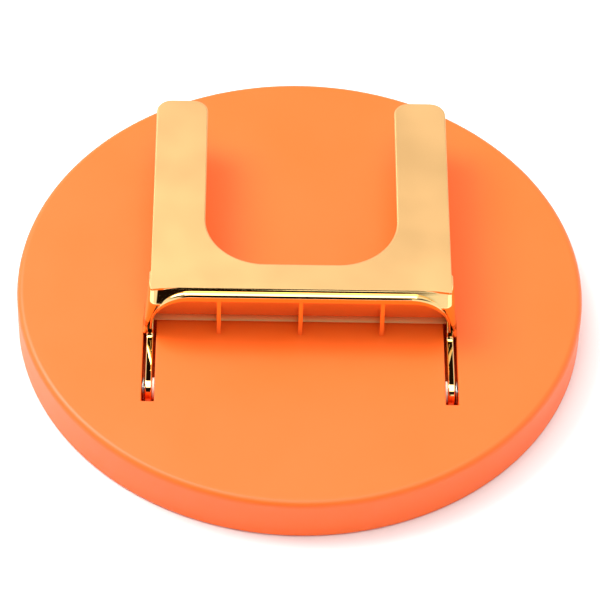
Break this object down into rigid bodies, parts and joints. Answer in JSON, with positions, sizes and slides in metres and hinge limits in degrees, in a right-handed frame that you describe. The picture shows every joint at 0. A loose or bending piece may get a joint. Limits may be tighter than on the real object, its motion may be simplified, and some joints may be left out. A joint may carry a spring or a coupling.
{
  "type": "folding table mirror",
  "caption": "Round table mirror in a rounded moulded shell, with a U-shaped gold-plated stand that folds flat on its back and swings out on two pins.",
  "frame": {"origin": "centre of the rim's front face, which the mirror lies on", "axes": "+Z out of the mirror's back, +Y towards the tips of the folded stand's prongs, +X along the hinge axis"},
  "size_m": [0.2, 0.2, 0.0394],
  "materials": {
    "shell": "satin moulded ABS",
    "inner_plastic": "moulded ABS",
    "gold": "gold electroplate on ABS, satin top face, polished sides",
    "mirror": "silvered float glass",
    "foam": "double-sided foam tape",
    "steel": "zinc-plated steel",
    "nylon": "natural nylon"
  },
  "bodies": {
    "mirror": {"rear_shell": "shell", "mirror_tray": "inner_plastic", "mirror_glass": "mirror", "foam_tape_ring": "foam", "foam_tape_centre": "foam", "tray_screw_1": "steel", "tray_screw_2": "steel", "tray_screw_3": "steel", "tray_screw_4": "steel", "tray_screw_5": "steel", "tray_screw_6": "steel", "pin_retainer_left": "inner_plastic", "pin_retainer_right": "inner_plastic", "retainer_screw_left_1": "steel", "retainer_screw_left_2": "steel", "retainer_screw_right_1": "steel", "retainer_screw_right_2": "steel", "hinge_pin_left": "steel", "hinge_pin_right": "steel", "friction_washer_left": "nylon", "friction_washer_right": "nylon", "spring_washer_left": "steel", "spring_washer_right": "steel"},
    "stand": {"stand": "gold"}
  },
  "joints": [
    {"name": "stand_hinge", "type": "hinge", "parent": "mirror", "child": "stand", "pos_m": [0, -0.0458, 0.0127], "axis": [1, 0, 0], "range_deg": [0, 105]}
  ]
}
